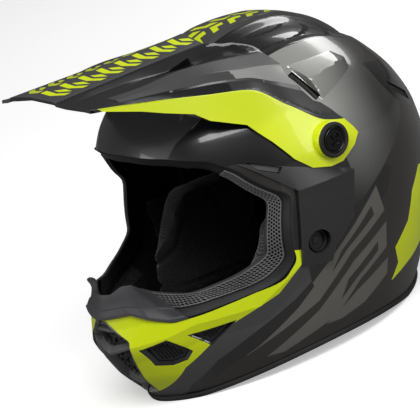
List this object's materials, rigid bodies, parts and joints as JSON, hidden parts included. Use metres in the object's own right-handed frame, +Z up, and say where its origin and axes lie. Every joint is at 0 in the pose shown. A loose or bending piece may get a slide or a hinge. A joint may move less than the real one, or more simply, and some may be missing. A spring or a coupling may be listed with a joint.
{
  "type": "motocross helmet",
  "caption": "Full-face motocross helmet with a tilting peak, open eyeport, vented chin bar, foam and fabric liners and a double D-ring chin strap.",
  "frame": {"origin": "on the surface the helmet stands on, below the middle of its bounding box", "axes": "+X the wearer's left, +Y to the back of the head, +Z up, with the helmet standing on its base trim"},
  "size_m": [0.2618, 0.3382, 0.2826],
  "materials": {
    "shell_paint": "satin black moulded shell with neon yellow and grey angular graphics under clear coat",
    "peak_plastic": "satin injection-moulded plastic, black, dark grey and neon yellow",
    "trim_rubber": "matt black rubber",
    "guard_rubber": "matt dark grey rubber",
    "cover_plastic": "fine-textured dark plastic",
    "vent_plastic": "satin mid-grey moulded plastic",
    "mesh": "black coated fine mesh",
    "steel": "plated steel",
    "dark_metal": "dark anodised aluminium",
    "foam": "black moulded bead foam",
    "lining": "brushed knit over soft foam",
    "webbing": "tightly woven nylon strap"
  },
  "bodies": {
    "shell": {"outer_shell": "shell_paint", "foam_liner": "foam", "chin_foam_left": "foam", "chin_foam_right": "foam", "crown_liner": "lining", "brow_pad": "lining", "cheek_pad_left": "lining", "cheek_pad_right": "lining", "neck_roll": "lining", "base_trim": "trim_rubber", "cheek_snap_1_left": "vent_plastic", "cheek_snap_2_left": "vent_plastic", "cheek_snap_3_left": "vent_plastic", "cheek_snap_1_right": "vent_plastic", "cheek_snap_2_right": "vent_plastic", "cheek_snap_3_right": "vent_plastic", "eyeport_trim": "trim_rubber", "nose_guard": "guard_rubber", "side_cover_left": "cover_plastic", "side_cover_right": "cover_plastic", "anchor_plug_left": "trim_rubber", "anchor_plug_right": "trim_rubber", "chin_vent_front_left": "mesh", "chin_vent_front_right": "mesh", "chin_vent_side_left": "mesh", "chin_vent_side_right": "mesh", "brow_vent_left": "vent_plastic", "brow_vent_right": "vent_plastic", "rear_slot_left": "mesh", "rear_slot_right": "mesh", "scoop_mesh_left": "mesh", "scoop_mesh_right": "mesh", "mouth_vent_frame": "vent_plastic", "mouth_vent_grille": "mesh", "rear_exhaust": "cover_plastic", "peak_nut_left": "vent_plastic", "peak_nut_right": "vent_plastic", "strap_anchor_left": "steel", "strap_anchor_right": "steel"},
    "peak": {"peak": "peak_plastic", "peak_washer_left": "trim_rubber", "peak_washer_right": "trim_rubber"},
    "screw_left": {"peak_screw_left": "dark_metal"},
    "screw_right": {"peak_screw_right": "dark_metal"},
    "strap": {"strap_short": "webbing", "strap_long": "webbing", "strap_sleeve": "lining", "strap_snap": "dark_metal"},
    "ring_inner": {"d_ring_inner": "steel"},
    "ring_outer": {"d_ring_outer": "steel"}
  },
  "joints": [
    {"name": "peak_tilt", "type": "hinge", "parent": "shell", "child": "peak", "pos_m": [0, 0.01424, 0.17369], "axis": [-1, 0, 0], "range_deg": [-6, 3]},
    {"name": "screw_left_turn", "type": "hinge", "parent": "shell", "child": "screw_left", "pos_m": [0.12, 0.01424, 0.17369], "axis": [1, 0, 0], "continuous": true},
    {"name": "screw_right_turn", "type": "hinge", "parent": "shell", "child": "screw_right", "pos_m": [-0.12, 0.01424, 0.17369], "axis": [-1, 0, 0], "continuous": true},
    {"name": "strap_swing", "type": "hinge", "parent": "shell", "child": "strap", "pos_m": [0, -0.02081, 0.10036], "axis": [1, 0, 0], "range_deg": [-10, 10]},
    {"name": "ring_inner_swing", "type": "hinge", "parent": "strap", "child": "ring_inner", "pos_m": [0.0752, -0.03194, 0.02114], "axis": [0, 0.9903, -0.1392], "range_deg": [-3, 4]},
    {"name": "ring_outer_swing", "type": "hinge", "parent": "strap", "child": "ring_outer", "pos_m": [0.0752, -0.03138, 0.0251], "axis": [0, 0.9903, -0.1392], "range_deg": [-4, 1]}
  ]
}
